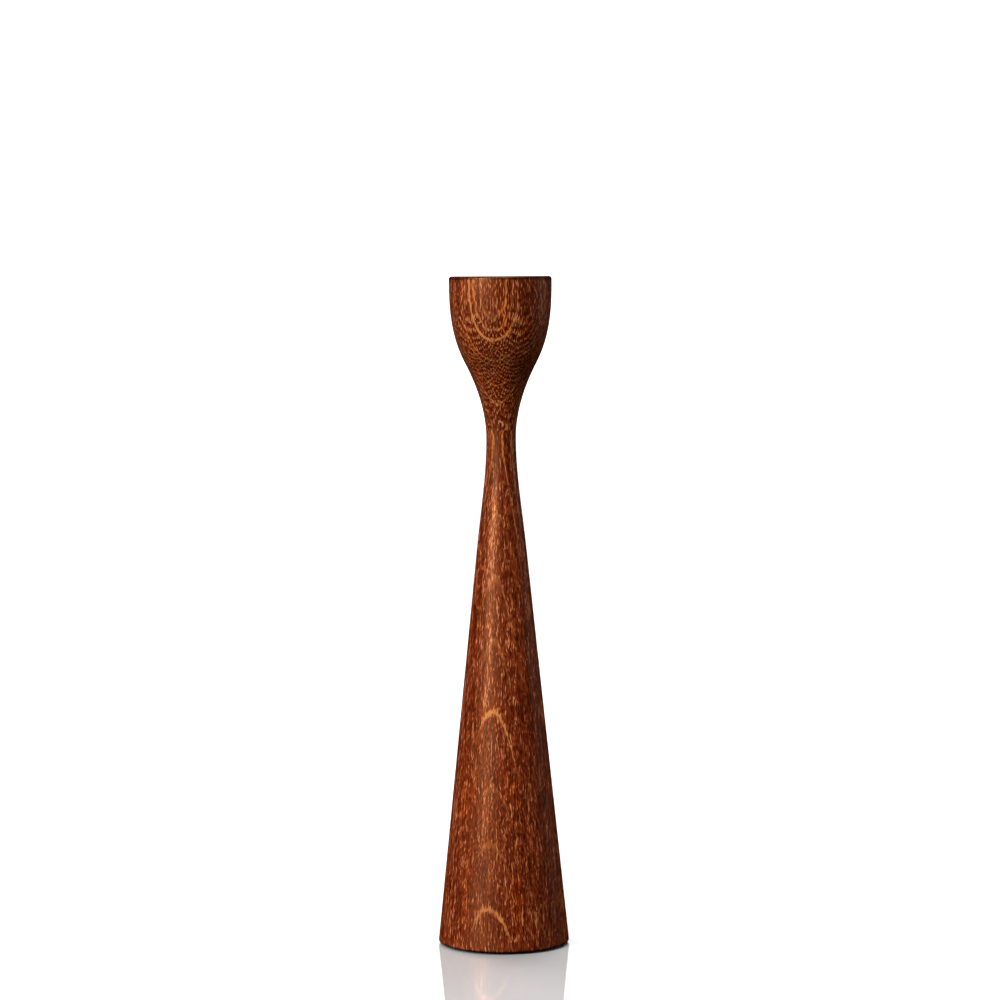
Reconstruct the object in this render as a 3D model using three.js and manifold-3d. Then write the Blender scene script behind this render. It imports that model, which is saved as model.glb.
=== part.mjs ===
// A turned oak candlestick: a long slender cone that narrows to a neck and flares into a cup.
//
// The cup is turned apart from the stem and held on it by a dowel. A loose brass insert lies in
// the cup: a shallow tray for a tealight, with a socket for a dinner candle in its middle. A steel
// disc is screwed into the hollow of the foot, and a felt pad is glued over it.
//
// Millimetres, +Z up. The origin is on the table, under the middle of the foot.

import * as THREE from "three";
import { mergeVertices } from "three/addons/utils/BufferGeometryUtils.js";
import Module from "manifold-3d";

const wasm = await Module();
wasm.setup();

// ---- Driving dimensions ----

// The turned outside.
const HEIGHT = 320;
const FOOT_DIAMETER = 63; // of the bare cone at the table, before its edge is rounded
const NECK_DIAMETER = 14.2;
const CUP_DIAMETER = 49;
const CONE_HEIGHT = 192; // the cone's side is straight up to here
const CONE_TOP_DIAMETER = 23.3;
const NECK_HEIGHT = 242.5; // the narrowest place
const FLARE_HEIGHT = 278.7; // the cup's outline turns from hollow to full here
const FLARE_DIAMETER = 34;
const FLARE_SLOPE = 0.52; // growth of the radius with height
const FULL_HEIGHT = 318; // the cup reaches its full width here
const PARTING_HEIGHT = 247; // the cup stands on the stem here

// Rounded edges.
const FOOT_ROUND = 1;
const RIM_ROUND = 1.4;
const INNER_RIM_ROUND = 0.6;

// The candles that it takes.
const TAPER_DIAMETER = 22;
const TEALIGHT_DIAMETER = 38;

// The brass insert.
const SHEET = 0.8; // thickness of the brass
const INSERT_DEPTH = 15; // from the wooden rim down to the tray's seat
const TRAY_CLEARANCE = 0.3; // all round, so that it lifts out
const TRAY_LIP_BELOW_RIM = 1.2;
const TRAY_CORNER = 1.5;
const LIP_ROUND = 0.7;
const SOCKET_DEPTH = 22; // below the tray's seat
const SOCKET_CLEARANCE = 0.5;
const SOCKET_CORNER = 1.6;
const FLANGE_WIDTH = 1.8; // the socket's flange, which lies on the tray
const SWAGE_WIDTH = 0.8; // the bead under the tray that locks the socket to it
const SWAGE_HEIGHT = 1.4;

// The dowel in the neck.
const DOWEL_DIAMETER = 8;
const DOWEL_LENGTH = 40;
const DOWEL_CHAMFER = 1;
const DOWEL_FLUTES = 20;
const FLUTE_DEPTH = 0.3;
const DOWEL_CLEARANCE = 0.15;
const GLUE_SPACE = 2; // beyond each end of the dowel

// The weight and the pad in the foot.
const PAD_DIAMETER = 56;
const PAD_THICKNESS = 1.6;
const PAD_PROUD = 0.8; // the pad stands this far below the wood
const WEIGHT_DIAMETER = 44;
const WEIGHT_THICKNESS = 10;
const WEIGHT_CHAMFER = 0.8;
const FOOT_CLEARANCE = 0.3; // round the weight and the pad
const SCREW_LENGTH = 30;
const SCREW_DIAMETER = 4;
const SCREW_HEAD_DIAMETER = 8;
const SCREW_SUNK = 0.3; // the head lies this far inside the weight
const SCREW_CLEARANCE = 0.25;
const SCREW_POINT = 4;
const DRIVE_WIDTH = 4.4; // the cross recess in the screw's head
const DRIVE_SLOT = 0.9;
const DRIVE_DEPTH = 1.6;

// Fineness of the round shapes.
const WOOD_SEGMENTS = 64;
const METAL_SEGMENTS = 48;
const SCREW_SEGMENTS = 24;
const CURVE_STEP = 4.5; // height between two points on a curved stretch of the wood
const CORNER_STEPS = 3;
const WELD = 1e-4; // vertices closer than this are one

// ---- Worked-out dimensions ----

const SEAT_HEIGHT = HEIGHT - INSERT_DEPTH;
const TRAY_RADIUS = TEALIGHT_DIAMETER / 2 + 1 + SHEET;
const RECESS_RADIUS = TRAY_RADIUS + TRAY_CLEARANCE;
const SOCKET_INNER_RADIUS = TAPER_DIAMETER / 2 + 0.4;
const SOCKET_RADIUS = SOCKET_INNER_RADIUS + SHEET;
const DOWEL_HOLE_DEPTH = DOWEL_LENGTH / 2 + GLUE_SPACE;
const WEIGHT_TOP = PAD_THICKNESS + WEIGHT_THICKNESS;
const SCREW_BOTTOM = PAD_THICKNESS + SCREW_SUNK;

// ---- Outlines and solids ----

const at = (radius, height) => new THREE.Vector2(radius, height);

// A round corner of an outline. Angles are in degrees, from outwards (0) towards up (90).
function corner(radius, height, round, from, to, steps = CORNER_STEPS) {
  return Array.from({ length: steps + 1 }, (_, i) => {
    const angle = THREE.MathUtils.degToRad(from + ((to - from) * i) / steps);
    return at(radius + round * Math.cos(angle), height + round * Math.sin(angle));
  });
}

const CONE_SLOPE = (CONE_TOP_DIAMETER - FOOT_DIAMETER) / 2 / CONE_HEIGHT;
const STATIONS = [
  { height: 0, radius: FOOT_DIAMETER / 2, slope: CONE_SLOPE },
  { height: CONE_HEIGHT, radius: CONE_TOP_DIAMETER / 2, slope: CONE_SLOPE },
  { height: NECK_HEIGHT, radius: NECK_DIAMETER / 2, slope: 0 },
  { height: FLARE_HEIGHT, radius: FLARE_DIAMETER / 2, slope: FLARE_SLOPE },
  { height: FULL_HEIGHT, radius: CUP_DIAMETER / 2, slope: 0 },
];

// The turned outside's radius at a height: one cubic from each station to the next.
function woodRadius(height) {
  if (height >= FULL_HEIGHT) return CUP_DIAMETER / 2;
  const next = STATIONS.findIndex((station) => station.height > height);
  const [low, high] = [STATIONS[next - 1], STATIONS[next]];
  const span = high.height - low.height;
  const t = (height - low.height) / span;
  const rise = t * t * (3 - 2 * t);
  return (
    low.radius * (1 - rise) +
    high.radius * rise +
    span * t * (1 - t) * (low.slope * (1 - t) - high.slope * t)
  );
}

// The outside between two heights, both included, at even steps.
function woodOutline(low, high) {
  const steps = Math.ceil((high - low) / CURVE_STEP);
  return Array.from({ length: steps + 1 }, (_, i) => {
    const height = low + ((high - low) * i) / steps;
    return at(woodRadius(height), height);
  });
}

// The solid that an outline sweeps about the upright axis. The outline runs outwards along the
// underside, up the outside and back inwards.
function turned(outline, segments) {
  return new THREE.LatheGeometry(outline, segments).rotateX(Math.PI / 2);
}

function manifoldOf(geometry) {
  geometry.deleteAttribute("normal");
  geometry.deleteAttribute("uv");
  const welded = mergeVertices(geometry, WELD);
  const vertProperties = welded.attributes.position.array;
  const triVerts = new Uint32Array(welded.index.array);
  return new wasm.Manifold(new wasm.Mesh({ numProp: 3, vertProperties, triVerts }));
}

function geometryOf(solid) {
  const { vertProperties, triVerts } = solid.getMesh();
  const geometry = new THREE.BufferGeometry();
  geometry.setAttribute("position", new THREE.BufferAttribute(vertProperties, 3));
  geometry.setIndex(new THREE.BufferAttribute(triVerts, 1));
  geometry.computeVertexNormals();
  return geometry;
}

function piece(name, geometry, color, roughness, metalness) {
  const material = new THREE.MeshStandardMaterial({ color, roughness, metalness });
  const mesh = new THREE.Mesh(geometry, material);
  mesh.name = name;
  return mesh;
}

const inOak = (name, geometry) => piece(name, geometry, 0x7a3c1f, 0.45, 0);
const inBrass = (name, geometry) => piece(name, geometry, 0xc0964c, 0.3, 1);
const inSteel = (name, geometry) => piece(name, geometry, 0x9a9da1, 0.35, 1);
const inBeech = (name, geometry) => piece(name, geometry, 0xd6b084, 0.7, 0);
const inFelt = (name, geometry) => piece(name, geometry, 0x2a2522, 0.95, 0);

// ---- Wood ----

// The long cone. Its foot is bored in steps from below, for the pad, the weight and the screw, and
// its top for the dowel.
function stem() {
  const dowelHole = DOWEL_DIAMETER / 2 + DOWEL_CLEARANCE;
  const screwHole = SCREW_DIAMETER / 2 + SCREW_CLEARANCE;
  const screwHoleTop = SCREW_BOTTOM + SCREW_LENGTH + 1;
  const weightRecess = WEIGHT_DIAMETER / 2 + FOOT_CLEARANCE;
  const padRecess = PAD_DIAMETER / 2 + FOOT_CLEARANCE;
  const roundTop = PAD_PROUD + FOOT_ROUND;
  const outline = [
    at(0, screwHoleTop),
    at(screwHole, screwHoleTop - SCREW_POINT / 2),
    at(screwHole, WEIGHT_TOP),
    at(weightRecess, WEIGHT_TOP),
    at(weightRecess, PAD_THICKNESS),
    at(padRecess, PAD_THICKNESS),
    at(padRecess, PAD_PROUD),
    ...corner(woodRadius(roundTop) - FOOT_ROUND, roundTop, FOOT_ROUND, -90, 0),
    ...woodOutline(CONE_HEIGHT, PARTING_HEIGHT),
    at(dowelHole, PARTING_HEIGHT),
    at(dowelHole, PARTING_HEIGHT - DOWEL_HOLE_DEPTH),
    at(0, PARTING_HEIGHT - DOWEL_HOLE_DEPTH),
  ];
  return inOak("stem", turned(outline, WOOD_SEGMENTS));
}

// The cup, bored from above for the insert: wide for the tray, narrow for the socket, with a step
// between them that gives the swaged bead room.
function cup() {
  const dowelHole = DOWEL_DIAMETER / 2 + DOWEL_CLEARANCE;
  const bore = SOCKET_RADIUS + SOCKET_CLEARANCE;
  const step = bore + SWAGE_WIDTH + SOCKET_CLEARANCE;
  const stepHeight = SEAT_HEIGHT - SWAGE_HEIGHT - SOCKET_CLEARANCE;
  const boreFloor = SEAT_HEIGHT - SOCKET_DEPTH;
  const rimTurn = HEIGHT - RIM_ROUND;
  const innerRimTurn = HEIGHT - INNER_RIM_ROUND;
  const outline = [
    at(0, PARTING_HEIGHT + DOWEL_HOLE_DEPTH),
    at(dowelHole, PARTING_HEIGHT + DOWEL_HOLE_DEPTH),
    at(dowelHole, PARTING_HEIGHT),
    ...woodOutline(PARTING_HEIGHT, rimTurn),
    ...corner(woodRadius(rimTurn) - RIM_ROUND, rimTurn, RIM_ROUND, 0, 90).slice(1),
    ...corner(RECESS_RADIUS + INNER_RIM_ROUND, innerRimTurn, INNER_RIM_ROUND, 90, 180),
    at(RECESS_RADIUS, SEAT_HEIGHT),
    at(step, SEAT_HEIGHT),
    at(step, stepHeight),
    at(bore, stepHeight),
    at(bore, boreFloor),
    at(0, boreFloor),
  ];
  return inOak("cup", turned(outline, WOOD_SEGMENTS));
}

// A fluted dowel, half in the stem and half in the cup. Every second edge is pressed in.
function neckDowel() {
  const radius = DOWEL_DIAMETER / 2;
  const half = DOWEL_LENGTH / 2;
  const outline = [
    at(0, -half),
    at(radius - DOWEL_CHAMFER, -half),
    at(radius, DOWEL_CHAMFER - half),
    at(radius, half - DOWEL_CHAMFER),
    at(radius - DOWEL_CHAMFER, half),
    at(0, half),
  ];
  const geometry = turned(outline, 2 * DOWEL_FLUTES);
  const vertices = geometry.attributes.position;
  for (let i = 0; i < vertices.count; i++) {
    const edge = Math.round((Math.atan2(vertices.getY(i), vertices.getX(i)) / Math.PI) * DOWEL_FLUTES);
    const pressed = edge % 2 ? 1 - FLUTE_DEPTH / radius : 1;
    vertices.setXY(i, vertices.getX(i) * pressed, vertices.getY(i) * pressed);
  }
  const mesh = inBeech("neck_dowel", geometry);
  mesh.position.z = PARTING_HEIGHT;
  return mesh;
}

// ---- Brass insert, measured up from the tray's seat in the cup ----

// The tray: a flat floor with a hole for the socket, an upright wall, and a lip rolled inwards.
function tealightTray() {
  const wallTop = INSERT_DEPTH - TRAY_LIP_BELOW_RIM - LIP_ROUND;
  const inner = TRAY_RADIUS - SHEET;
  const hole = SOCKET_RADIUS + 0.1;
  const outline = [
    at(hole, 0),
    ...corner(TRAY_RADIUS - TRAY_CORNER, TRAY_CORNER, TRAY_CORNER, -90, 0),
    ...corner(TRAY_RADIUS - LIP_ROUND, wallTop, LIP_ROUND, 0, 180, 2 * CORNER_STEPS),
    at(inner, wallTop - LIP_ROUND),
    ...corner(inner - TRAY_CORNER + SHEET, TRAY_CORNER, TRAY_CORNER - SHEET, 0, -90),
    at(hole, SHEET),
    at(hole, 0),
  ];
  return inBrass("tealight_tray", turned(outline, METAL_SEGMENTS));
}

// The socket: a drawn cup that hangs through the tray by its flange. A bead swaged out of its
// wall, just under the tray, holds the two together.
function taperSocket() {
  const floor = SOCKET_CLEARANCE - SOCKET_DEPTH;
  const inner = SOCKET_INNER_RADIUS;
  const innerCorner = SOCKET_CORNER - SHEET;
  const outline = [
    at(0, floor),
    ...corner(SOCKET_RADIUS - SOCKET_CORNER, floor + SOCKET_CORNER, SOCKET_CORNER, -90, 0),
    at(SOCKET_RADIUS, -SWAGE_HEIGHT),
    at(SOCKET_RADIUS + SWAGE_WIDTH, -SWAGE_HEIGHT / 2),
    at(SOCKET_RADIUS + SWAGE_WIDTH, 0),
    at(SOCKET_RADIUS, 0),
    at(SOCKET_RADIUS, SHEET),
    at(SOCKET_RADIUS + FLANGE_WIDTH, SHEET),
    at(SOCKET_RADIUS + FLANGE_WIDTH, 2 * SHEET),
    ...corner(SOCKET_RADIUS, SHEET, SHEET, 90, 180),
    ...corner(inner - innerCorner, floor + SOCKET_CORNER, innerCorner, 0, -90),
    at(0, floor + SHEET),
  ];
  return inBrass("taper_socket", turned(outline, METAL_SEGMENTS));
}

// ---- Weight, screw and pad in the foot ----

// A steel disc with chamfered edges and a countersunk hole.
function ballastDisc() {
  const hole = SCREW_DIAMETER / 2 + SCREW_CLEARANCE;
  const sunkHead = SCREW_HEAD_DIAMETER / 2 + SCREW_CLEARANCE;
  const sinkTop = SCREW_SUNK + sunkHead - hole;
  const radius = WEIGHT_DIAMETER / 2;
  const outline = [
    at(sunkHead, SCREW_SUNK),
    at(sunkHead, 0),
    at(radius - WEIGHT_CHAMFER, 0),
    at(radius, WEIGHT_CHAMFER),
    at(radius, WEIGHT_THICKNESS - WEIGHT_CHAMFER),
    at(radius - WEIGHT_CHAMFER, WEIGHT_THICKNESS),
    at(hole, WEIGHT_THICKNESS),
    at(hole, sinkTop),
    at(sunkHead, SCREW_SUNK),
  ];
  const mesh = inSteel("ballast_disc", turned(outline, METAL_SEGMENTS));
  mesh.position.z = PAD_THICKNESS;
  return mesh;
}

// A countersunk wood screw, driven up from below. It is as thick as its thread is outside.
function ballastScrew() {
  const head = SCREW_HEAD_DIAMETER / 2;
  const shank = SCREW_DIAMETER / 2;
  const outline = [
    at(0, 0),
    at(head, 0),
    at(shank, head - shank),
    at(shank, SCREW_LENGTH - SCREW_POINT),
    at(0, SCREW_LENGTH),
  ];
  const blank = manifoldOf(turned(outline, SCREW_SEGMENTS));
  const slots = [
    new THREE.BoxGeometry(DRIVE_WIDTH, DRIVE_SLOT, 2 * DRIVE_DEPTH),
    new THREE.BoxGeometry(DRIVE_SLOT, DRIVE_WIDTH, 2 * DRIVE_DEPTH),
  ].map(manifoldOf);
  const screw = blank.subtract(slots[0].add(slots[1]));
  const mesh = inSteel("ballast_screw", geometryOf(screw));
  mesh.position.z = SCREW_BOTTOM;
  return mesh;
}

function baseFelt() {
  const radius = PAD_DIAMETER / 2;
  const outline = [at(0, 0), at(radius, 0), at(radius, PAD_THICKNESS), at(0, PAD_THICKNESS)];
  return inFelt("base_felt", turned(outline, WOOD_SEGMENTS));
}

// ---- Assembly ----

const candleInsert = new THREE.Group();
candleInsert.position.z = SEAT_HEIGHT;
candleInsert.add(tealightTray(), taperSocket());

const candlestick = new THREE.Group();
candlestick.add(stem(), cup(), neckDowel(), ballastDisc(), ballastScrew(), baseFelt(), candleInsert);

export default candlestick;
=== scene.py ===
"""A turned oak candlestick with a lift-out brass insert, dressed for its portrait.

Every piece is spun, fluted or threaded here at the size of its CAD node, gets a procedural
material, and rides on its body. Outlines are in millimetres, and meshes in metres.
"""

import math

import bmesh
import bpy
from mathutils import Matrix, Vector


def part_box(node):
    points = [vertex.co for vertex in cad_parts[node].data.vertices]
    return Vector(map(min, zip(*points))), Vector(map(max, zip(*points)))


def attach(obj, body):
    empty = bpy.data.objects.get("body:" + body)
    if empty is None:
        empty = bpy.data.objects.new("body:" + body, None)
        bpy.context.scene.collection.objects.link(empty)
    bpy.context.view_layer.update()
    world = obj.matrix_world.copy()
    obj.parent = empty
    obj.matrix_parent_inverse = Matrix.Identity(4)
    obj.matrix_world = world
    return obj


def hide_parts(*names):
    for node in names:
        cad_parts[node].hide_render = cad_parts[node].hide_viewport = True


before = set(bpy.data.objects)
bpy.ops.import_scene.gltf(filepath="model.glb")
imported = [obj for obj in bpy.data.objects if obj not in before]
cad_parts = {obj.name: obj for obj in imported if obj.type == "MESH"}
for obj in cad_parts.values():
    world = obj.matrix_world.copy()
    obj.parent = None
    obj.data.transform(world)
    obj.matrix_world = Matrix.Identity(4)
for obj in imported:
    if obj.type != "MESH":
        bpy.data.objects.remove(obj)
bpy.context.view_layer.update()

MM = 0.001


# ---------------------------------------------------------------- sizes, from the frame

def size_of(node):
    """A round node's largest radius and its lowest and highest height, in millimetres."""
    low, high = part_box(node)
    return high.x / MM, low.z / MM, high.z / MM


_, FOOT, PARTING = size_of("stem")
CUP_RADIUS, _, HEIGHT = size_of("cup")
TRAY_RADIUS, SEAT, TRAY_TOP = size_of("tealight_tray")
FLANGE_RADIUS, SOCKET_BOTTOM, FLANGE_TOP = size_of("taper_socket")
DOWEL_RADIUS, DOWEL_BOTTOM, DOWEL_TOP = size_of("neck_dowel")
DISC_RADIUS, DISC_BOTTOM, DISC_TOP = size_of("ballast_disc")
HEAD_RADIUS, SCREW_BOTTOM, SCREW_TOP = size_of("ballast_screw")
PAD_RADIUS, PAD_BOTTOM, PAD_TOP = size_of("base_felt")

FOOT_RADIUS, SHOULDER_RADIUS, SHOULDER = 31.5, 11.65, 192
CONE_SLOPE = (SHOULDER_RADIUS - FOOT_RADIUS) / SHOULDER
# The turned outside passes smoothly through these: height, radius and slope.
STATIONS = [
    (0, FOOT_RADIUS, CONE_SLOPE),
    (SHOULDER, SHOULDER_RADIUS, CONE_SLOPE),
    (242.5, 7.1, 0),
    (278.7, 17, 0.52),
    (318, CUP_RADIUS, 0),
]

SHEET = 0.8  # thickness of the brass
GAP = 0.3  # between neighbours
SOCKET_RADIUS = 12.2
SCREW_HOLE = 2.25
DOWEL_HOLE = DOWEL_RADIUS + GAP / 2
HARD_EDGE = 35  # edges that turn by more degrees than this stay hard


def wood_radius(height):
    """The outside's radius at a height: one cubic from each station to the next."""
    if height >= STATIONS[-1][0]:
        return STATIONS[-1][1]
    above = next(i for i, station in enumerate(STATIONS) if station[0] > height)
    (low, r0, s0), (high, r1, s1) = STATIONS[above - 1], STATIONS[above]
    span = high - low
    t = (height - low) / span
    rise = t * t * (3 - 2 * t)
    return r0 * (1 - rise) + r1 * rise + span * t * (1 - t) * (s0 * (1 - t) - s1 * t)


# ---------------------------------------------------------------- outlines and meshes

def arc(radius, height, bend, start, end, steps=8):
    """Part of a circle in an outline. Angles are in degrees, from outwards (0) to up (90)."""
    angles = [math.radians(start + (end - start) * i / steps) for i in range(steps + 1)]
    return [(radius + bend * math.cos(a), height + bend * math.sin(a)) for a in angles]


def wood_outline(low, high, step=1.5):
    """The turned outside between two heights, both included."""
    steps = math.ceil((high - low) / step)
    heights = [low + (high - low) * i / steps for i in range(steps + 1)]
    return [(wood_radius(h), h) for h in heights]


def shade(mesh):
    """Smooth shading, with the hard edges kept."""
    mesh.shade_smooth()
    mesh.set_sharp_from_angle(angle=math.radians(HARD_EDGE))


def mesh_piece(name, vertices, faces):
    """A new object, from corners in millimetres."""
    mesh = bpy.data.meshes.new(name)
    mesh.from_pydata([tuple(c * MM for c in v) for v in vertices], [], faces)
    mesh.validate()
    shade(mesh)
    piece = bpy.data.objects.new(name, mesh)
    bpy.context.scene.collection.objects.link(piece)
    return piece


def spun(name, outline, segments=192, radius_at=None):
    """The solid that an outline of (radius, height) sweeps about the upright axis.

    The outline runs anticlockwise, and either closes on itself or starts and ends on the axis.
    radius_at(radius, height, angle) may reshape it.
    """
    closed = outline[0] == outline[-1]
    points = outline[:-1] if closed else outline
    vertices, rings = [], []
    for radius, height in points:
        if radius == 0:
            rings.append([len(vertices)] * segments)
            vertices.append((0, 0, height))
            continue
        rings.append([len(vertices) + i for i in range(segments)])
        for i in range(segments):
            angle = 2 * math.pi * i / segments
            r = radius_at(radius, height, angle) if radius_at else radius
            vertices.append((r * math.cos(angle), r * math.sin(angle), height))
    faces = []
    uppers = rings[1:] + rings[:1] if closed else rings[1:]
    for low, high in zip(rings, uppers):
        for i in range(segments):
            j = (i + 1) % segments
            face = list(dict.fromkeys([low[i], low[j], high[j], high[i]]))
            if len(face) > 2:
                faces.append(face)
    return mesh_piece(name, vertices, faces)


def turned_stem():
    """The long cone: hollowed from below for the disc and the felt, drilled at both ends."""
    foot_round, hole_spare = 1, 2
    drill_end = SCREW_TOP + 1
    disc_recess = DISC_RADIUS + GAP
    pad_recess = PAD_RADIUS + GAP
    turn = FOOT + foot_round
    outline = [
        (0, drill_end + hole_spare),
        (SCREW_HOLE, drill_end),
        (SCREW_HOLE, DISC_TOP),
        (disc_recess, DISC_TOP),
        (disc_recess, PAD_TOP),
        (pad_recess, PAD_TOP),
        (pad_recess, FOOT),
        *arc(wood_radius(turn) - foot_round, turn, foot_round, -90, 0),
        *wood_outline(turn + 1, PARTING),
        (DOWEL_HOLE, PARTING),
        (DOWEL_HOLE, DOWEL_BOTTOM - hole_spare),
        (0, DOWEL_BOTTOM - hole_spare),
    ]
    return spun("turned_stem", outline, 256)


def turned_cup():
    """The flared cup, with a seat for the tray and a bore for the socket."""
    rim_round, inner_round, hole_spare = 1.4, 0.6, 2
    wall_top = HEIGHT - rim_round - 0.6
    recess = TRAY_RADIUS + GAP
    bore, bore_bottom = 12.7, SOCKET_BOTTOM - 0.5
    step, step_height = 14, SEAT - 1.9
    outline = [
        (0, DOWEL_TOP + hole_spare),
        (DOWEL_HOLE, DOWEL_TOP + hole_spare),
        (DOWEL_HOLE, PARTING),
        *wood_outline(PARTING, wall_top, 1.0),
        *arc(CUP_RADIUS - rim_round, HEIGHT - rim_round, rim_round, 0, 90),
        *arc(recess + inner_round, HEIGHT - inner_round, inner_round, 90, 180),
        (recess, SEAT),
        (step, SEAT),
        (step, step_height),
        (bore, step_height),
        (bore, bore_bottom),
        (0, bore_bottom),
    ]
    return spun("turned_cup", outline, 256)


def pressed_tray():
    """The tealight tray: sheet brass with a pressed ring round its floor and a rolled lip."""
    hole, bend, lip = SOCKET_RADIUS + 0.1, 1.5, 0.7
    wall = TRAY_RADIUS - SHEET
    lip_height, lip_radius = TRAY_TOP - lip, TRAY_RADIUS - lip
    lip_sweep, lip_end = 250, 1.6
    rib, rib_width, rib_rise, rib_steps = 16.6, 1.3, 0.35, 6

    def rise(radius):
        """How far the pressed ring lifts the sheet."""
        away = min(1, abs(radius - rib) / rib_width)
        return rib_rise * (1 + math.cos(math.pi * away)) / 2

    across = [rib + rib_width * i / rib_steps for i in range(-rib_steps, rib_steps + 1)]
    outline = [
        (hole, SEAT),
        *[(r, SEAT + rise(r)) for r in across],
        *arc(TRAY_RADIUS - bend, SEAT + bend, bend, -90, 0),
        *arc(lip_radius, lip_height, lip, 0, lip_sweep, 16),
        (wall, lip_height - lip_end),
        *arc(TRAY_RADIUS - bend, SEAT + bend, bend - SHEET, 0, -90),
        *[(r, SEAT + SHEET + rise(r)) for r in reversed(across)],
        (hole, SEAT + SHEET),
        (hole, SEAT),
    ]
    return spun("pressed_tray", outline, 192)


def drawn_socket():
    """The taper socket: a drawn cup, its flange on the tray and a swaged bead below it."""
    bend, inner = 1.6, SOCKET_RADIUS - SHEET
    bead, bead_low, bead_high, steps = 0.8, SEAT - 1.4, SEAT, 8
    edge, mouth = SHEET / 2, 0.8
    swell = [(i / steps, math.sin(math.pi * i / steps)) for i in range(steps + 1)]
    outline = [
        (0, SOCKET_BOTTOM),
        *arc(SOCKET_RADIUS - bend, SOCKET_BOTTOM + bend, bend, -90, 0),
        *[(SOCKET_RADIUS + bead * s, bead_low + (bead_high - bead_low) * t) for t, s in swell],
        (SOCKET_RADIUS, FLANGE_TOP - SHEET),
        *arc(FLANGE_RADIUS - edge, FLANGE_TOP - edge, edge, -90, 90),
        *arc(inner + mouth, FLANGE_TOP - mouth, mouth, 90, 180),
        *arc(SOCKET_RADIUS - bend, SOCKET_BOTTOM + bend, bend - SHEET, 0, -90),
        (0, SOCKET_BOTTOM + SHEET),
    ]
    return spun("drawn_socket", outline, 192)


def fluted_dowel():
    """The beech dowel, grooved along its sides and chamfered at its ends."""
    chamfer, flutes, depth, segments_each = 1.0, 20, 0.3, 12

    def fluted(radius, height, angle):
        if radius < DOWEL_RADIUS:
            return radius
        return radius - depth * max(0, math.cos(flutes * angle)) ** 2

    outline = [
        (0, DOWEL_BOTTOM),
        (DOWEL_RADIUS - chamfer, DOWEL_BOTTOM),
        (DOWEL_RADIUS, DOWEL_BOTTOM + chamfer),
        (DOWEL_RADIUS, DOWEL_TOP - chamfer),
        (DOWEL_RADIUS - chamfer, DOWEL_TOP),
        (0, DOWEL_TOP),
    ]
    return spun("fluted_dowel", outline, flutes * segments_each, fluted)


def faced_disc():
    """The ballast disc, countersunk from below, with facing grooves on both sides."""
    chamfer, groove, pitch = 0.8, 0.06, 1.25
    sunk_head = HEAD_RADIUS + 0.25
    sink = DISC_BOTTOM + 0.3
    first = sunk_head + 1
    cuts = int((DISC_RADIUS - chamfer - first) / pitch)
    face = []
    for i in range(cuts):
        start = first + pitch * i
        face += [(start, 0), (start + pitch / 2, groove)]
    outline = [
        (sunk_head, sink),
        (sunk_head, DISC_BOTTOM),
        *[(r, DISC_BOTTOM + deep) for r, deep in face],
        (DISC_RADIUS - chamfer, DISC_BOTTOM),
        (DISC_RADIUS, DISC_BOTTOM + chamfer),
        (DISC_RADIUS, DISC_TOP - chamfer),
        (DISC_RADIUS - chamfer, DISC_TOP),
        *[(r, DISC_TOP - deep) for r, deep in reversed(face)],
        (SCREW_HOLE, DISC_TOP),
        (SCREW_HOLE, sink + sunk_head - SCREW_HOLE),
        (sunk_head, sink),
    ]
    return spun("faced_disc", outline, 192)


def wood_screw():
    """The ballast screw, point up: a countersunk head with a cross recess, and a cut thread."""
    shank, core, pitch, point = 2.0, 1.45, 1.8, 4
    thread_start, tip = SCREW_BOTTOM + 7, 0.1
    segments, step = 32, pitch / 10
    crest_width = 0.2  # of a turn, to each side
    neck = SCREW_BOTTOM + HEAD_RADIUS - shank

    def threaded(radius, height, angle):
        if height < thread_start:
            return radius
        phase = ((height - thread_start) / pitch - angle / (2 * math.pi)) % 1
        crest = max(0, 1 - abs(phase - 0.5) / crest_width)
        cut = min(1, (height - thread_start) / pitch) * (1 - core / shank)
        return radius * (1 - cut * (1 - crest))

    steps = int((SCREW_TOP - tip - neck) / step)
    heights = [neck + step * i for i in range(steps + 1)]
    outline = [
        (HEAD_RADIUS, SCREW_BOTTOM),
        *[(shank * min(1, (SCREW_TOP - h) / point), h) for h in heights],
        (0, SCREW_TOP),
    ]
    screw = spun("wood_screw", outline, segments, threaded)
    add_cross_recess(screw, segments)
    return screw


def cross_outline(half_width, half_slot):
    """The twelve corners of a cross, anticlockwise."""
    quarter = [(half_slot, half_slot), (half_slot, half_width), (-half_slot, half_width)]
    corners = []
    for cos, sin in ((1, 0), (0, 1), (-1, 0), (0, -1)):
        corners += [(x * cos - y * sin, x * sin + y * cos) for x, y in quarter]
    return corners


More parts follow.
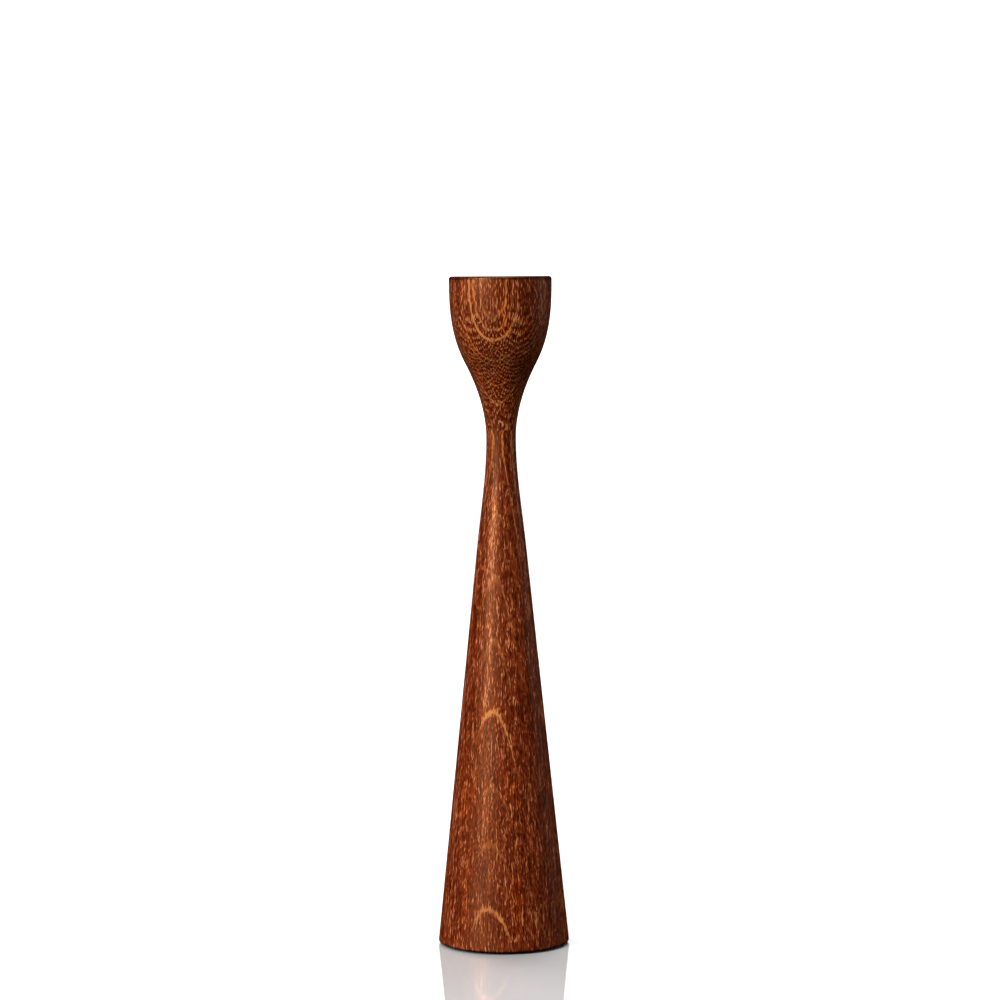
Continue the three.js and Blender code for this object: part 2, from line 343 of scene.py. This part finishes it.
def add_cross_recess(screw, segments):
    """Closes the screw's head with a flat face that has a tapered cross sunk in it."""
    top_width, top_slot = 2.2, 0.45
    floor_width, floor_slot, depth = 1.5, 0.35, 1.6
    mesh = bmesh.new()
    mesh.from_mesh(screw.data)
    mesh.verts.ensure_lookup_table()
    rim = list(mesh.verts)[:segments]

    def loop(half_width, half_slot, height):
        corners = cross_outline(half_width, half_slot)
        return [mesh.verts.new((x * MM, y * MM, height * MM)) for x, y in corners]

    top = loop(top_width, top_slot, SCREW_BOTTOM)
    bottom = loop(floor_width, floor_slot, SCREW_BOTTOM + depth)
    for a, b, c, d in zip(top, top[1:] + top[:1], bottom[1:] + bottom[:1], bottom):
        mesh.faces.new((a, b, c, d))
    mesh.faces.new(bottom)
    borders = list(zip(rim, rim[1:] + rim[:1])) + list(zip(top, top[1:] + top[:1]))
    edges = [mesh.edges.get(pair) for pair in borders]
    bmesh.ops.triangle_fill(mesh, use_beauty=True, edges=edges)
    bmesh.ops.recalc_face_normals(mesh, faces=mesh.faces)
    mesh.to_mesh(screw.data)
    mesh.free()
    shade(screw.data)


def felt_pad():
    """A cut disc of felt: soft edges, and not quite round."""
    edge, slip, rings = 0.35, 0.04, 8

    def cut_by_hand(radius, height, angle):
        waver = math.sin(5 * angle + 1) + math.sin(13 * angle) + math.sin(31 * angle + height)
        return radius - slip * (3 + waver) * (radius / PAD_RADIUS) ** 4

    outline = [
        (0, PAD_BOTTOM),
        *[(PAD_RADIUS * i / rings, PAD_BOTTOM) for i in range(1, rings)],
        *arc(PAD_RADIUS - edge, PAD_BOTTOM + edge, edge, -90, 0, 5),
        *arc(PAD_RADIUS - edge, PAD_TOP - edge, edge, 0, 90, 5),
        (0, PAD_TOP),
    ]
    return spun("felt_pad", outline, 256, cut_by_hand)


# ---------------------------------------------------------------- shader graph helper

def srgb(red, green, blue):
    """A colour as painters name it, 0 to 255, in the renderer's linear numbers."""
    def linear(c):
        c /= 255
        return c / 12.92 if c <= 0.04045 else ((c + 0.055) / 1.055) ** 2.4
    return (linear(red), linear(green), linear(blue), 1.0)


class Graph:
    """A material's nodes, written as calls that give sockets."""

    def __init__(self, name):
        self.material = bpy.data.materials.new(name)
        self.material.use_nodes = True
        self.tree = self.material.node_tree
        self.shader = self.tree.nodes["Principled BSDF"]

    def put(self, value, socket):
        """Links a socket, or sets a plain value."""
        if isinstance(value, bpy.types.NodeSocket):
            self.tree.links.new(value, socket)
        else:
            socket.default_value = value

    def node(self, kind, inputs=None, **settings):
        """A new node, with its settings made and its inputs put in."""
        made = self.tree.nodes.new("ShaderNode" + kind)
        for key, value in settings.items():
            setattr(made, key, value)
        for key, value in (inputs or {}).items():
            self.put(value, made.inputs[key])
        return made

    def math(self, operation, *values, clamp=False):
        made = self.node("Math", operation=operation, use_clamp=clamp)
        for value, socket in zip(values, made.inputs):
            self.put(value, socket)
        return made.outputs[0]

    def total(self, start, *terms):
        """start plus each (socket, factor), with 0.5 as the middle of every socket."""
        for socket, factor in terms:
            centred = self.math("SUBTRACT", socket, 0.5)
            start = self.math("MULTIPLY_ADD", centred, factor, start)
        return start

    def vector(self, operation, *values):
        made = self.node("VectorMath", operation=operation)
        for value, socket in zip(values, made.inputs):
            self.put(value, socket)
        return made.outputs["Value" if operation in ("DOT_PRODUCT", "LENGTH") else "Vector"]

    def join(self, x, y, z):
        return self.node("CombineXYZ", {0: x, 1: y, 2: z}).outputs[0]

    def split(self, vector):
        return self.node("SeparateXYZ", {0: vector}).outputs

    def millimetres(self):
        """The place on the piece, which doesn't change when the piece moves."""
        place = self.node("TexCoord").outputs["Object"]
        return self.vector("MULTIPLY", place, (1000, 1000, 1000))

    def noise(self, vector, detail=2.0, roughness=0.5):
        """Noise with spots about one unit of the vector wide."""
        inputs = {"Vector": vector, "Scale": 1, "Detail": detail, "Roughness": roughness}
        return self.node("TexNoise", inputs).outputs

    def step(self, value, low, high):
        """Smoothly from 0 at low to 1 at high."""
        inputs = {"Value": value, "From Min": low, "From Max": high}
        return self.node("MapRange", inputs, interpolation_type="SMOOTHSTEP").outputs[0]

    def ramp(self, value, stops):
        """A colour from (place, colour) stops, straight from one to the next."""
        made = self.node("ValToRGB", {"Fac": value})
        elements = made.color_ramp.elements
        while len(elements) < len(stops):
            elements.new(0.5)
        for element, (place, colour) in zip(elements, stops):
            element.position = place
            element.color = colour
        return made.outputs["Color"]

    def mix(self, share, a, b, blend="MIX"):
        made = self.node("Mix", data_type="RGBA", blend_type=blend)
        for value, socket in ((share, made.inputs[0]), (a, made.inputs[6]), (b, made.inputs[7])):
            self.put(value, socket)
        return made.outputs[2]

    def bump(self, height, distance, strength=1.0):
        inputs = {"Height": height, "Distance": distance, "Strength": strength}
        return self.node("Bump", inputs).outputs[0]

    def finish(self, **sockets):
        """Fills the shader's own sockets, and gives the material."""
        for key, value in sockets.items():
            self.put(value, self.shader.inputs[key.replace("_", " ")])
        return self.material


# ---------------------------------------------------------------- oak

# The growth rings' light edges: millimetres from the axis towards the front,
# strength, and half thickness.
STEM_RINGS = [
    (-33.6, 0.5, 0.14), (-30.2, 0.6, 0.16), (-26.9, 0.5, 0.14), (-23.3, 0.7, 0.16),
    (-20.1, 0.4, 0.14), (-16.9, 0.7, 0.16), (-13.2, 0.5, 0.14), (-9.8, 0.6, 0.16),
    (-6.7, 0.5, 0.14), (-3.1, 0.6, 0.14), (0.1, 0.5, 0.14), (3.6, 0.5, 0.14),
    (6.7, 0.6, 0.16), (10.0, 0.2, 0.14), (13.3, 0.25, 0.16), (16.3, 0.2, 0.14),
    (19.2, 1.0, 0.14), (23.2, 0.2, 0.12), (26.0, 0.25, 0.12), (29.1, 1.0, 0.14),
    (33.2, 0.5, 0.14),
]
CUP_RINGS = [
    (-26.2, 0.5, 0.14), (-23.0, 0.5, 0.13), (-20.4, 0.6, 0.15), (-17.5, 0.7, 0.15),
    (-14.2, 0.4, 0.15), (-11.6, 0.6, 0.18), (-8.3, 0.4, 0.15), (-5.2, 0.6, 0.15),
    (-2.3, 0.5, 0.15), (0.8, 0.4, 0.15), (3.9, 0.3, 0.15), (6.6, 0.3, 0.15),
    (9.5, 0.4, 0.2), (12.5, 0.45, 0.15), (15.2, 0.3, 0.12), (16.8, 0.6, 0.12),
    (17.9, 0.8, 0.14), (21.6, 1.0, 0.22), (22.7, 0.5, 0.14), (23.6, 0.35, 0.12),
    (26.2, 0.5, 0.14),
]

# From the darkest pores to the palest fibres.
OAK_TONES = [
    (0.00, srgb(50, 8, 0)),
    (0.12, srgb(78, 18, 2)),
    (0.30, srgb(100, 32, 9)),
    (0.50, srgb(116, 43, 16)),
    (0.70, srgb(137, 58, 25)),
    (0.86, srgb(165, 83, 44)),
    (1.00, srgb(210, 133, 84)),
]
RING_TONE = srgb(206, 128, 66)
COOL_PATCH, WARM_PATCH = (0.82, 0.74, 0.9, 1), (1.1, 0.9, 0.6, 1)
# Stain-soaked end grain, and the painted shade along the rim and the foot, multiply by this.
SOAK_AND_SHADE = (0.24, 0.16, 0.15, 1)
OIL_SHEEN = (1.0, 0.42, 0.17, 1)

# Millimetres from row to row of the fibres, along the growth layers and through them.
ROW_ALONG, ROW_THROUGH = 1.8, 1.05
# How far each kind of grain, and the painted highlight, moves the tone.
ROW_STRENGTH, FIBRE_STRENGTH, BAND_STRENGTH, PHASE_STRENGTH = 1.3, 2.2, 0.3, 0.06
HIGHLIGHT_STRENGTH, EDGE_STRENGTH = 0.28, 0.4


def grain_axes(g, place, heading):
    """A place's distance along the growth layers, its depth through them, and a waver.

    The layers stand upright and face heading degrees to the left of the front. They drift
    over centimetres, waver over half a centimetre, and ripple a little.
    """
    angle = math.radians(heading)
    drift = g.noise(g.vector("MULTIPLY", place, (0.03, 0.03, 0.012)), detail=1)["Color"]
    waver = g.noise(g.vector("MULTIPLY", place, (0.16, 0.16, 0.12)), detail=1.5)["Color"]
    ripple = g.noise(g.vector("MULTIPLY", place, (0.3, 0.3, 0.28)), detail=1)["Fac"]
    drift_a, drift_b, _ = g.split(drift)
    waver_a, waver_b, _ = g.split(waver)
    along = g.vector("DOT_PRODUCT", place, (math.cos(angle), -math.sin(angle), 0))
    layer = g.vector("DOT_PRODUCT", place, (-math.sin(angle), -math.cos(angle), 0))
    along = g.total(along, (drift_b, 3.0), (waver_b, 1.8), (ripple, 1.6))
    layer = g.total(layer, (drift_a, 2.0), (waver_a, 0.45))
    return along, layer, waver_b


def fibre_rows(g, along, layer):
    """Rows of fibres, each of them half a step aside of the one before it."""
    def wave(socket, pitch):
        return g.math("COSINE", g.math("MULTIPLY", socket, 2 * math.pi / pitch))

    rows = g.math("MULTIPLY", wave(along, ROW_ALONG), wave(layer, ROW_THROUGH))
    return g.math("MULTIPLY_ADD", rows, 0.5, 0.5)


def ring_edges(g, layer, rings):
    """How strongly a place lies on a ring's light edge, and how far it is through its ring."""
    reach = 35
    last = len(rings) - 1
    stops = []
    for i, (place, strength, half) in enumerate(rings):
        below, above = max(0, i - 1), min(last, i + 1)
        spacing = (rings[above][0] - rings[below][0]) / (above - below)
        stops.append((0.5 + place / (2 * reach), (i / last, strength, half / spacing, 1)))
    across = g.math("MULTIPLY_ADD", layer, 1 / (2 * reach), 0.5)
    index, strength, half = g.split(g.ramp(across, stops))
    count = g.math("MULTIPLY", index, last)
    away = g.math("PINGPONG", count, 0.5)
    edge = g.step(away, g.math("MULTIPLY", half, 1.3), g.math("MULTIPLY", half, 0.4))
    return g.math("MULTIPLY", edge, strength), g.math("FRACT", count)


def painted_highlight(g, place, waver, height, azimuth, low, high):
    """How strongly a place lies in the painted highlight: a wavy upright band on the front, at an
    azimuth, between two heights.
    """
    half_width, fade = 1.3, 12
    angle = math.radians(azimuth)
    aside = g.vector("DOT_PRODUCT", place, (math.cos(angle), math.sin(angle), 0))
    aside = g.math("ABSOLUTE", g.total(aside, (waver, 4)))
    front = g.step(g.split(place)[1], 0, -2)
    share = g.step(aside, 1.5 * half_width, 0.3 * half_width)
    for limit in (front, g.step(height, low, low + fade), g.step(height, high, high - fade)):
        share = g.math("MULTIPLY", share, limit)
    return share


def soak_and_shade_share(g, height):
    """How much a place is darkened: end grain drinks the most stain, and painted shade lies along
    the rim and the foot.
    """
    tilt = g.split(g.node("TexCoord").outputs["Normal"])[2]
    end_grain = g.step(g.math("ABSOLUTE", tilt), 0.2, 0.95)
    # Painted shade: a dark band round the rim's rounded top.
    rim = g.step(height, HEIGHT - 2.3, HEIGHT - 1.2)
    # Painted shade: a dark band round the foot, next to the table.
    foot = g.step(height, FOOT + 1.5, FOOT + 0.4)
    return g.math("MAXIMUM", end_grain, g.math("MAXIMUM", rim, foot))


def stained_oak(name, heading, rings, clear, even, tone, contrast, shift, highlight_streak=None):
    """Dark stained oak, oiled.

    The growth layers are nearly flat and face heading degrees to the left of the front. The
    vessels and fibres run upright in a loose lattice, wider along the layers than through
    them, so the slope of the surface decides how long their cuts look.

    rings: the growth rings' light edges.
    clear: the stretch, across the front, where those edges show.
    even: how much of the grain is neat rows, from 0 to 1.
    tone, contrast: the middle of the wood's tones, and how far fine fibres go from it.
    shift: moves the lattice, for another block of wood.
    highlight_streak: a painted highlight, fibres made lighter in a wavy upright band on the front,
    as its azimuth, its lowest and its highest height.
    """
    g = Graph(name)
    place = g.millimetres()
    height = g.split(place)[2]
    along, layer, waver = grain_axes(g, place, heading)
    grain = g.join(along, layer, height)

    def fibre_noise(sideways, through, upright, offset, detail=0):
        """Noise whose spots are about so many millimetres wide, deep and tall."""
        scale = (1 / sideways, 1 / through, 1 / upright)
        moved = tuple(s + offset for s in shift)
        return g.noise(g.vector("MULTIPLY_ADD", grain, scale, moved), detail=detail)["Fac"]

    rows = fibre_rows(g, along, layer)
    fibres = fibre_noise(0.5, 2.2, 45, 43)
    fine = fibre_noise(0.4, 0.3, 2.6, 17)
    bands = fibre_noise(2.4, 3, 120, 31, detail=2)
    broken = fibre_noise(4, 4, 25, 5, detail=2)
    patches = fibre_noise(7, 5, 45, 50, detail=1)

    frayed = g.total(layer, (fine, 0.35), (fibres, 0.35))
    edge, phase = ring_edges(g, frayed, rings)
    left, right = clear
    for fading in (
        g.step(broken, 0.2, 0.5),
        g.step(along, left - 4, left + 3),
        g.step(along, right + 4, right - 3),
    ):
        edge = g.math("MULTIPLY", edge, fading)

    # The rows grow ragged towards the rim.
    ragged = g.step(height, HEIGHT - 24, HEIGHT - 10)
    neat = g.math("MULTIPLY_ADD", ragged, -0.6 * even, even)
    rows_factor = g.math("MULTIPLY", neat, ROW_STRENGTH)
    fibres_factor = g.math("MULTIPLY_ADD", neat, -FIBRE_STRENGTH, FIBRE_STRENGTH)
    value = g.total(tone, (rows, rows_factor), (fibres, fibres_factor), (fine, contrast))
    value = g.total(value, (bands, BAND_STRENGTH), (phase, PHASE_STRENGTH))
    # Painted highlight: fibres made lighter in a wavy upright band on the front, where the key
    # light's reflection falls.
    if highlight_streak:
        highlight_share = painted_highlight(g, place, waver, height, *highlight_streak)
        value = g.math("MULTIPLY_ADD", highlight_share, HIGHLIGHT_STRENGTH, value)
    value = g.math("MULTIPLY_ADD", edge, EDGE_STRENGTH, value, clamp=True)

    colour = g.mix(edge, g.ramp(value, OAK_TONES), RING_TONE)
    colour = g.mix(g.step(patches, 0.55, 0.75), colour, COOL_PATCH, "MULTIPLY")
    colour = g.mix(g.step(patches, 0.48, 0.3), colour, WARM_PATCH, "MULTIPLY")
    # Darker end grain from stain, and painted shade along the rim and at the foot.
    colour = g.mix(soak_and_shade_share(g, height), colour, SOAK_AND_SHADE, "MULTIPLY")
    return g.finish(
        Base_Color=colour,
        Roughness=g.math("MULTIPLY_ADD", value, -0.24, 0.52),
        Specular_IOR_Level=0.7,
        Specular_Tint=OIL_SHEEN,
        Normal=g.bump(value, 0.00006, 0.6),
    )


# ---------------------------------------------------------------- the other materials

def turning_lines(g, place, per_mm):
    """Fine noise that is the same all round the upright axis, as a lathe leaves it."""
    radius = g.vector("LENGTH", g.vector("MULTIPLY", place, (1, 1, 0)))
    height = g.split(place)[2]
    return g.noise(g.join(*[g.math("MULTIPLY", v, per_mm) for v in (radius, height)], 0))["Fac"]


def spun_brass():
    """Satin brass with fine turning lines, some of them painted paler as glints, and a few dull
    patches.
    """
    g = Graph("spun_brass")
    place = g.millimetres()
    lines = turning_lines(g, place, 5)
    patches = g.noise(g.vector("MULTIPLY", place, (0.16, 0.16, 0.16)), 4, 0.6)["Fac"]
    colour = g.mix(g.step(patches, 0.45, 0.7), srgb(200, 156, 88), srgb(180, 134, 74))
    # Painted glints: a paler colour along some turning lines.
    colour = g.mix(g.step(lines, 0.5, 0.75), colour, srgb(216, 176, 112))
    return g.finish(
        Base_Color=colour,
        Metallic=1.0,
        Roughness=g.total(0.3, (lines, 0.14), (patches, 0.25)),
        Normal=g.bump(lines, 0.00004, 0.5),
    )


def plated_steel():
    """Turned steel under a thin zinc coat, with a cool sheen and grey blooms."""
    g = Graph("plated_steel")
    place = g.millimetres()
    lines = turning_lines(g, place, 7)
    bloom = g.noise(g.vector("MULTIPLY", place, (0.25, 0.25, 0.25)), 5, 0.65)["Fac"]
    colour = g.mix(g.step(bloom, 0.4, 0.65), srgb(186, 189, 193), srgb(150, 153, 158))
    return g.finish(
        Base_Color=colour,
        Metallic=1.0,
        Roughness=g.total(0.36, (lines, 0.15), (bloom, 0.3)),
        Normal=g.bump(lines, 0.00003, 0.5),
    )


def bare_beech():
    """Pale beech with its short brown flecks and faint growth bands."""
    g = Graph("bare_beech")
    place = g.millimetres()
    flecks = g.noise(g.vector("MULTIPLY", place, (2.6, 1.1, 0.35)), 1)["Fac"]
    bands = g.noise(g.vector("MULTIPLY", place, (0.1, 0.7, 0.02)))["Fac"]
    colour = g.mix(g.step(bands, 0.35, 0.65), srgb(206, 166, 122), srgb(222, 186, 142))
    colour = g.mix(g.step(flecks, 0.6, 0.7), colour, srgb(158, 108, 70))
    return g.finish(Base_Color=colour, Roughness=0.7, Normal=g.bump(flecks, 0.00005, 0.4))


def pressed_felt():
    """Dark wool felt: matted fibres, paler specks, and a soft surface."""
    g = Graph("pressed_felt")
    place = g.millimetres()
    tangle = g.noise(g.vector("MULTIPLY", place, (0.9, 0.9, 0.9)))["Color"]
    warped = g.vector("MULTIPLY_ADD", tangle, (2.5, 2.5, 2.5), place)
    strands = g.node("TexVoronoi", {"Vector": warped, "Scale": 2.2}, feature="DISTANCE_TO_EDGE")
    strand = g.step(strands.outputs["Distance"], 0.0, 0.16)
    specks = g.noise(g.vector("MULTIPLY", place, (3, 3, 3)), 4, 0.7)["Fac"]
    colour = g.mix(strand, srgb(84, 70, 60), srgb(38, 31, 28))
    colour = g.mix(g.step(specks, 0.56, 0.7), colour, srgb(124, 106, 94))
    return g.finish(
        Base_Color=colour,
        Roughness=0.95,
        Specular_IOR_Level=0.15,
        Sheen_Weight=0.35,
        Sheen_Roughness=0.5,
        Sheen_Tint=srgb(150, 135, 122),
        Normal=g.bump(g.math("MULTIPLY_ADD", strand, -0.5, specks), 0.0003, 0.9),
    )


# ---------------------------------------------------------------- studio

def make_camera():
    """A long lens level with the rim, looking a little down, and turned a hair about its axis."""
    distance, aside = 1.5422, -0.0007
    look_down, roll = math.radians(3.955), math.radians(-0.33)
    data = bpy.data.cameras.new("camera")
    data.lens = 116.6
    data.sensor_width = 36
    camera = bpy.data.objects.new("camera", data)
    bpy.context.scene.collection.objects.link(camera)
    camera.location = (aside, -distance, HEIGHT * MM)
    camera.rotation_euler = (math.pi / 2 - look_down, 0, 0)
    camera.rotation_euler.rotate_axis("Z", roll)
    bpy.context.scene.camera = camera


def softbox(name, azimuth, elevation, distance, size, level, glossy=True):
    """A soft light. Azimuth is in degrees to the right of the front, seen from the object.

    At level 1, white paper that faces it looks white.
    """
    data = bpy.data.lights.new(name, "AREA")
    data.shape = "RECTANGLE"
    data.size, data.size_y = size
    data.energy = level * (math.pi * distance) ** 2
    light = bpy.data.objects.new(name, data)
    light.visible_glossy = glossy
    bpy.context.scene.collection.objects.link(light)
    a, e = math.radians(azimuth), math.radians(elevation)
    towards = Vector((math.sin(a) * math.cos(e), -math.cos(a) * math.cos(e), math.sin(e)))
    light.location = Vector((0, 0, HEIGHT * MM / 2)) + towards * distance
    light.rotation_euler = towards.to_track_quat("Z", "Y").to_euler()
    return light


def shine_only_on(light, name, objects):
    """Keeps a light, or a glowing object, off everything but these objects."""
    receivers = bpy.data.collections.new(name)
    for obj in objects:
        receivers.objects.link(obj)
    light.light_linking.receiver_collection = receivers


def make_floor():
    """Glossy white acrylic. The object isn't lit by it, so that its flare stays in shade."""
    g = Graph("white_acrylic")
    g.finish(Base_Color=(0.55, 0.55, 0.55, 1), Roughness=0.02)
    reach = 8000
    corners = [(-reach, -reach, 0), (reach, -reach, 0), (reach, reach, 0), (-reach, reach, 0)]
    floor = mesh_piece("floor", corners, [(0, 1, 2, 3)])
    floor.data.materials.append(g.material)
    floor.visible_glossy = False
    floor.visible_diffuse = False
    return floor


def make_backdrop(seen_by):
    """A bright dome round everything, brightest above the floor. Only seen_by mirror it."""
    bright, soft, radius = 1.8, 0.8, 5000
    g = Graph("bright_wall")
    height = g.split(g.millimetres())[2]
    fade = g.math("MAXIMUM", g.step(height, 1300, 3000), g.step(height, 0, -200))
    glow = g.math("MULTIPLY_ADD", fade, soft - bright, bright)
    g.finish(Base_Color=(0, 0, 0, 1), Emission_Color=(1, 1, 1, 1), Emission_Strength=glow)
    g.material.cycles.emission_sampling = "NONE"
    outline = [(0, -radius), *arc(0, 0, radius, -85, 85, 24), (0, radius)]
    dome = spun("backdrop", outline, 48)
    dome.data.materials.append(g.material)
    dome.visible_diffuse = False
    dome.visible_shadow = False
    shine_only_on(dome, "mirrors_backdrop", seen_by)


def make_lights(floor):
    """A key from the front left, and faint fills that leave the right side in shade."""
    softbox("key", -43, 23, 2.4, (0.7, 1.1), 1.15)
    softbox("top", 0, 80, 1.6, (1.0, 1.0), 0.6)
    softbox("right_fill", 72, 8, 1.5, (0.9, 0.9), 0.25, glossy=False)
    softbox("back_right", 160, 30, 1.5, (0.8, 0.8), 0.45, glossy=False)
    softbox("back_left", -140, 30, 1.5, (0.8, 0.8), 0.5, glossy=False)
    softbox("edge_strip", 112, 8, 1.3, (0.12, 0.8), 0.035)
    wash = softbox("floor_wash", 180, 60, 1.6, (1.2, 1.2), 0.55, glossy=False)
    shine_only_on(wash, "washed", [floor])


# ---------------------------------------------------------------- assembly

# The stem's front carries a painted highlight, a lighter wavy band.
oak_stem = stained_oak(
    "oak_stem", heading=14.5, rings=STEM_RINGS, clear=(-6, 10), even=0.4, tone=0.435, contrast=1.45,
    shift=(0, 0, 0), highlight_streak=(-24, 105, 226),
)
oak_cup = stained_oak(
    "oak_cup", heading=8, rings=CUP_RINGS, clear=(-14, 9), even=0.85, tone=0.38, contrast=2.4,
    shift=(13, 7, 3),
)
brass = spun_brass()
steel = plated_steel()

PIECES = [
    (turned_stem(), "stem", "candlestick", "stained_oak", oak_stem),
    (turned_cup(), "cup", "candlestick", "stained_oak", oak_cup),
    (fluted_dowel(), "neck_dowel", "candlestick", "beech", bare_beech()),
    (faced_disc(), "ballast_disc", "candlestick", "steel", steel),
    (wood_screw(), "ballast_screw", "candlestick", "steel", steel),
    (felt_pad(), "base_felt", "candlestick", "felt", pressed_felt()),
    (pressed_tray(), "tealight_tray", "candle_insert", "brass", brass),
    (drawn_socket(), "taper_socket", "candle_insert", "brass", brass),
]
for piece, node, body, slot, material in PIECES:
    piece.data.materials.append(material)
    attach(piece, body)
    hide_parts(node)

bpy.context.scene.view_settings.view_transform = "Standard"
make_camera()
floor = make_floor()
metal = [piece for piece, _, _, slot, _ in PIECES if slot in ("brass", "steel")]
make_backdrop([floor] + metal)
make_lights(floor)
